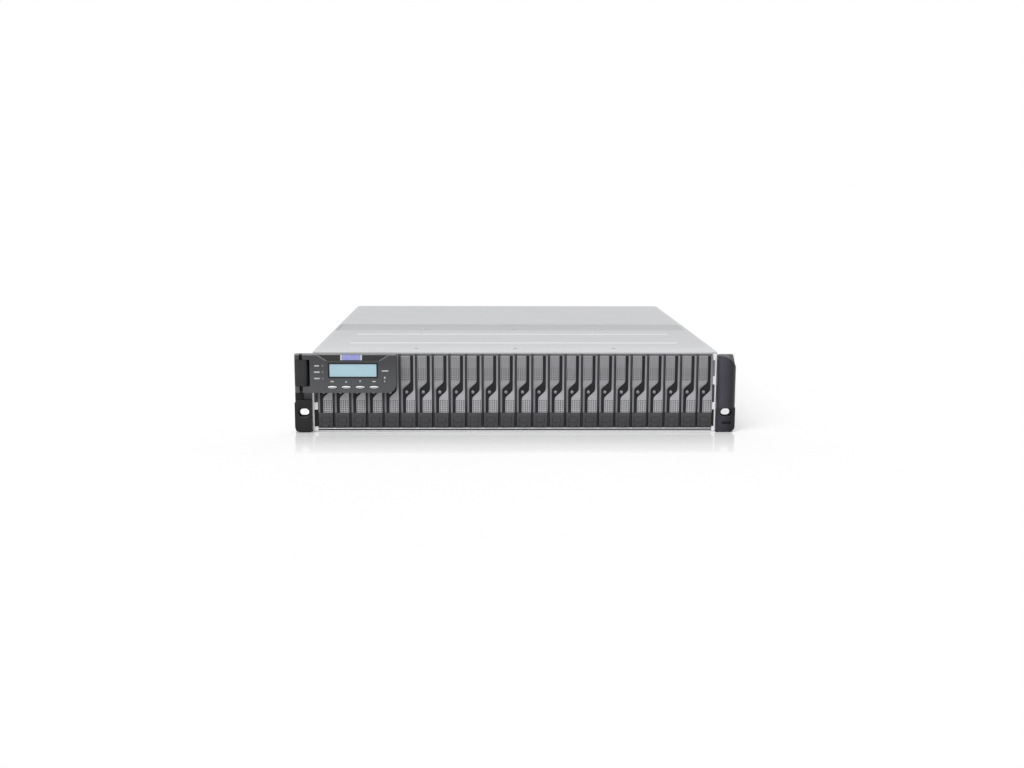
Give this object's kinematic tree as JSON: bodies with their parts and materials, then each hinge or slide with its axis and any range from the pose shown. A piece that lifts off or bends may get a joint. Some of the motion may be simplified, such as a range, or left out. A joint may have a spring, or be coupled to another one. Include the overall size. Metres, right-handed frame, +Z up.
{
  "type": "storage array",
  "caption": "Rack storage array with a row of upright drive trays, hinged flaps, a swing-out control panel, slide-in controllers and power supplies.",
  "frame": {"origin": "bottom centre of the whole array's box", "axes": "+Z up, +Y to the back, +X to the right seen from the front"},
  "size_m": [0.4846, 0.545, 0.0876],
  "materials": {
    "zinc_sheet": "satin",
    "dark_plastic": "matte",
    "panel_plastic": "matte",
    "flap_plastic": "satin",
    "tray_metal": "satin",
    "screen_glass": "gloss",
    "key_plastic": "satin",
    "board_green": "satin",
    "pin_steel": "satin",
    "fan_plastic": "satin"
  },
  "bodies": {
    "chassis": {"chassis_base": "zinc_sheet", "drive_cage": "zinc_sheet", "midplane_board": "board_green", "top_cover_front": "zinc_sheet", "top_cover_rear": "zinc_sheet", "cover_screws": "pin_steel", "left_ear": "dark_plastic", "right_ear": "dark_plastic", "lcd_hinge_pin": "pin_steel", "drive_trays_behind_panel": "tray_metal"},
    "lcd_panel": {"lcd_door": "panel_plastic", "lcd_display": "screen_glass"},
    "key_escape": {"key_escape": "key_plastic"},
    "key_up": {"key_up": "key_plastic"},
    "key_down": {"key_down": "key_plastic"},
    "key_enter": {"key_enter": "key_plastic"},
    "controller_upper": {"controller_upper": "zinc_sheet"},
    "controller_lower": {"controller_lower": "zinc_sheet"},
    "psu_left": {"psu_left": "zinc_sheet"},
    "fan_left": {"fan_left": "fan_plastic"},
    "psu_right": {"psu_right": "zinc_sheet"},
    "fan_right": {"fan_right": "fan_plastic"},
    "tray_06": {"drive_tray_06": "tray_metal"},
    "flap_06": {"tray_flap_06": "flap_plastic"},
    "tray_07": {"drive_tray_07": "tray_metal"},
    "flap_07": {"tray_flap_07": "flap_plastic"},
    "tray_08": {"drive_tray_08": "tray_metal"},
    "flap_08": {"tray_flap_08": "flap_plastic"},
    "tray_09": {"drive_tray_09": "tray_metal"},
    "flap_09": {"tray_flap_09": "flap_plastic"},
    "tray_10": {"drive_tray_10": "tray_metal"},
    "flap_10": {"tray_flap_10": "flap_plastic"},
    "tray_11": {"drive_tray_11": "tray_metal"},
    "flap_11": {"tray_flap_11": "flap_plastic"},
    "tray_12": {"drive_tray_12": "tray_metal"},
    "flap_12": {"tray_flap_12": "flap_plastic"},
    "tray_13": {"drive_tray_13": "tray_metal"},
    "flap_13": {"tray_flap_13": "flap_plastic"},
    "tray_14": {"drive_tray_14": "tray_metal"},
    "flap_14": {"tray_flap_14": "flap_plastic"},
    "tray_15": {"drive_tray_15": "tray_metal"},
    "flap_15": {"tray_flap_15": "flap_plastic"},
    "tray_16": {"drive_tray_16": "tray_metal"},
    "flap_16": {"tray_flap_16": "flap_plastic"},
    "tray_17": {"drive_tray_17": "tray_metal"},
    "flap_17": {"tray_flap_17": "flap_plastic"},
    "tray_18": {"drive_tray_18": "tray_metal"},
    "flap_18": {"tray_flap_18": "flap_plastic"},
    "tray_19": {"drive_tray_19": "tray_metal"},
    "flap_19": {"tray_flap_19": "flap_plastic"},
    "tray_20": {"drive_tray_20": "tray_metal"},
    "flap_20": {"tray_flap_20": "flap_plastic"},
    "tray_21": {"drive_tray_21": "tray_metal"},
    "flap_21": {"tray_flap_21": "flap_plastic"},
    "tray_22": {"drive_tray_22": "tray_metal"},
    "flap_22": {"tray_flap_22": "flap_plastic"},
    "tray_23": {"drive_tray_23": "tray_metal"},
    "flap_23": {"tray_flap_23": "flap_plastic"},
    "tray_24": {"drive_tray_24": "tray_metal"},
    "flap_24": {"tray_flap_24": "flap_plastic"}
  },
  "joints": [
    {"name": "lcd_panel_swing", "type": "hinge", "parent": "chassis", "child": "lcd_panel", "pos_m": [-0.2336, -0.26605, 0.0449], "axis": [0, 0, -1], "range_deg": [0, 105]},
    {"name": "key_escape_press", "type": "slide", "parent": "lcd_panel", "child": "key_escape", "axis": [0, 1, 0], "range_m": [0, 0.001], "stiffness_N_per_m": 400, "springref_m": -0.0005},
    {"name": "key_up_press", "type": "slide", "parent": "lcd_panel", "child": "key_up", "axis": [0, 1, 0], "range_m": [0, 0.001], "stiffness_N_per_m": 400, "springref_m": -0.0005},
    {"name": "key_down_press", "type": "slide", "parent": "lcd_panel", "child": "key_down", "axis": [0, 1, 0], "range_m": [0, 0.001], "stiffness_N_per_m": 400, "springref_m": -0.0005},
    {"name": "key_enter_press", "type": "slide", "parent": "lcd_panel", "child": "key_enter", "axis": [0, 1, 0], "range_m": [0, 0.001], "stiffness_N_per_m": 400, "springref_m": -0.0005},
    {"name": "controller_upper_slide", "type": "slide", "parent": "chassis", "child": "controller_upper", "axis": [0, 1, 0], "range_m": [0, 0.3]},
    {"name": "controller_lower_slide", "type": "slide", "parent": "chassis", "child": "controller_lower", "axis": [0, 1, 0], "range_m": [0, 0.3]},
    {"name": "psu_left_slide", "type": "slide", "parent": "chassis", "child": "psu_left", "axis": [0, 1, 0], "range_m": [0, 0.3]},
    {"name": "psu_right_slide", "type": "slide", "parent": "chassis", "child": "psu_right", "axis": [0, 1, 0], "range_m": [0, 0.3]},
    {"name": "fan_left_spin", "type": "hinge", "parent": "psu_left", "child": "fan_left", "pos_m": [-0.17615, 0.23045, 0.0545], "axis": [0, 1, 0], "continuous": true},
    {"name": "fan_right_spin", "type": "hinge", "parent": "psu_right", "child": "fan_right", "pos_m": [0.17615, 0.23045, 0.0545], "axis": [0, 1, 0], "continuous": true},
    {"name": "tray_06_slide", "type": "slide", "parent": "chassis", "child": "tray_06", "axis": [0, -1, 0], "range_m": [0, 0.13]},
    {"name": "flap_06_swing", "type": "hinge", "parent": "tray_06", "child": "flap_06", "pos_m": [-0.1183, -0.25775, 0.08265], "axis": [-1, 0, 0], "range_deg": [0, 65]},
    {"name": "tray_07_slide", "type": "slide", "parent": "chassis", "child": "tray_07", "axis": [0, -1, 0], "range_m": [0, 0.13]},
    {"name": "flap_07_swing", "type": "hinge", "parent": "tray_07", "child": "flap_07", "pos_m": [-0.1001, -0.25775, 0.08265], "axis": [-1, 0, 0], "range_deg": [0, 65]},
    {"name": "tray_08_slide", "type": "slide", "parent": "chassis", "child": "tray_08", "axis": [0, -1, 0], "range_m": [0, 0.13]},
    {"name": "flap_08_swing", "type": "hinge", "parent": "tray_08", "child": "flap_08", "pos_m": [-0.0819, -0.25775, 0.08265], "axis": [-1, 0, 0], "range_deg": [0, 65]},
    {"name": "tray_09_slide", "type": "slide", "parent": "chassis", "child": "tray_09", "axis": [0, -1, 0], "range_m": [0, 0.13]},
    {"name": "flap_09_swing", "type": "hinge", "parent": "tray_09", "child": "flap_09", "pos_m": [-0.0637, -0.25775, 0.08265], "axis": [-1, 0, 0], "range_deg": [0, 65]},
    {"name": "tray_10_slide", "type": "slide", "parent": "chassis", "child": "tray_10", "axis": [0, -1, 0], "range_m": [0, 0.13]},
    {"name": "flap_10_swing", "type": "hinge", "parent": "tray_10", "child": "flap_10", "pos_m": [-0.0455, -0.25775, 0.08265], "axis": [-1, 0, 0], "range_deg": [0, 65]},
    {"name": "tray_11_slide", "type": "slide", "parent": "chassis", "child": "tray_11", "axis": [0, -1, 0], "range_m": [0, 0.13]},
    {"name": "flap_11_swing", "type": "hinge", "parent": "tray_11", "child": "flap_11", "pos_m": [-0.0273, -0.25775, 0.08265], "axis": [-1, 0, 0], "range_deg": [0, 65]},
    {"name": "tray_12_slide", "type": "slide", "parent": "chassis", "child": "tray_12", "axis": [0, -1, 0], "range_m": [0, 0.13]},
    {"name": "flap_12_swing", "type": "hinge", "parent": "tray_12", "child": "flap_12", "pos_m": [-0.0091, -0.25775, 0.08265], "axis": [-1, 0, 0], "range_deg": [0, 65]},
    {"name": "tray_13_slide", "type": "slide", "parent": "chassis", "child": "tray_13", "axis": [0, -1, 0], "range_m": [0, 0.13]},
    {"name": "flap_13_swing", "type": "hinge", "parent": "tray_13", "child": "flap_13", "pos_m": [0.0091, -0.25775, 0.08265], "axis": [-1, 0, 0], "range_deg": [0, 65]},
    {"name": "tray_14_slide", "type": "slide", "parent": "chassis", "child": "tray_14", "axis": [0, -1, 0], "range_m": [0, 0.13]},
    {"name": "flap_14_swing", "type": "hinge", "parent": "tray_14", "child": "flap_14", "pos_m": [0.0273, -0.25775, 0.08265], "axis": [-1, 0, 0], "range_deg": [0, 65]},
    {"name": "tray_15_slide", "type": "slide", "parent": "chassis", "child": "tray_15", "axis": [0, -1, 0], "range_m": [0, 0.13]},
    {"name": "flap_15_swing", "type": "hinge", "parent": "tray_15", "child": "flap_15", "pos_m": [0.0455, -0.25775, 0.08265], "axis": [-1, 0, 0], "range_deg": [0, 65]},
    {"name": "tray_16_slide", "type": "slide", "parent": "chassis", "child": "tray_16", "axis": [0, -1, 0], "range_m": [0, 0.13]},
    {"name": "flap_16_swing", "type": "hinge", "parent": "tray_16", "child": "flap_16", "pos_m": [0.0637, -0.25775, 0.08265], "axis": [-1, 0, 0], "range_deg": [0, 65]},
    {"name": "tray_17_slide", "type": "slide", "parent": "chassis", "child": "tray_17", "axis": [0, -1, 0], "range_m": [0, 0.13]},
    {"name": "flap_17_swing", "type": "hinge", "parent": "tray_17", "child": "flap_17", "pos_m": [0.0819, -0.25775, 0.08265], "axis": [-1, 0, 0], "range_deg": [0, 65]},
    {"name": "tray_18_slide", "type": "slide", "parent": "chassis", "child": "tray_18", "axis": [0, -1, 0], "range_m": [0, 0.13]},
    {"name": "flap_18_swing", "type": "hinge", "parent": "tray_18", "child": "flap_18", "pos_m": [0.1001, -0.25775, 0.08265], "axis": [-1, 0, 0], "range_deg": [0, 65]},
    {"name": "tray_19_slide", "type": "slide", "parent": "chassis", "child": "tray_19", "axis": [0, -1, 0], "range_m": [0, 0.13]},
    {"name": "flap_19_swing", "type": "hinge", "parent": "tray_19", "child": "flap_19", "pos_m": [0.1183, -0.25775, 0.08265], "axis": [-1, 0, 0], "range_deg": [0, 65]},
    {"name": "tray_20_slide", "type": "slide", "parent": "chassis", "child": "tray_20", "axis": [0, -1, 0], "range_m": [0, 0.13]},
    {"name": "flap_20_swing", "type": "hinge", "parent": "tray_20", "child": "flap_20", "pos_m": [0.1365, -0.25775, 0.08265], "axis": [-1, 0, 0], "range_deg": [0, 65]},
    {"name": "tray_21_slide", "type": "slide", "parent": "chassis", "child": "tray_21", "axis": [0, -1, 0], "range_m": [0, 0.13]},
    {"name": "flap_21_swing", "type": "hinge", "parent": "tray_21", "child": "flap_21", "pos_m": [0.1547, -0.25775, 0.08265], "axis": [-1, 0, 0], "range_deg": [0, 65]},
    {"name": "tray_22_slide", "type": "slide", "parent": "chassis", "child": "tray_22", "axis": [0, -1, 0], "range_m": [0, 0.13]},
    {"name": "flap_22_swing", "type": "hinge", "parent": "tray_22", "child": "flap_22", "pos_m": [0.1729, -0.25775, 0.08265], "axis": [-1, 0, 0], "range_deg": [0, 65]},
    {"name": "tray_23_slide", "type": "slide", "parent": "chassis", "child": "tray_23", "axis": [0, -1, 0], "range_m": [0, 0.13]},
    {"name": "flap_23_swing", "type": "hinge", "parent": "tray_23", "child": "flap_23", "pos_m": [0.1911, -0.25775, 0.08265], "axis": [-1, 0, 0], "range_deg": [0, 65]},
    {"name": "tray_24_slide", "type": "slide", "parent": "chassis", "child": "tray_24", "axis": [0, -1, 0], "range_m": [0, 0.13]},
    {"name": "flap_24_swing", "type": "hinge", "parent": "tray_24", "child": "flap_24", "pos_m": [0.2093, -0.25775, 0.08265], "axis": [-1, 0, 0], "range_deg": [0, 65]}
  ]
}
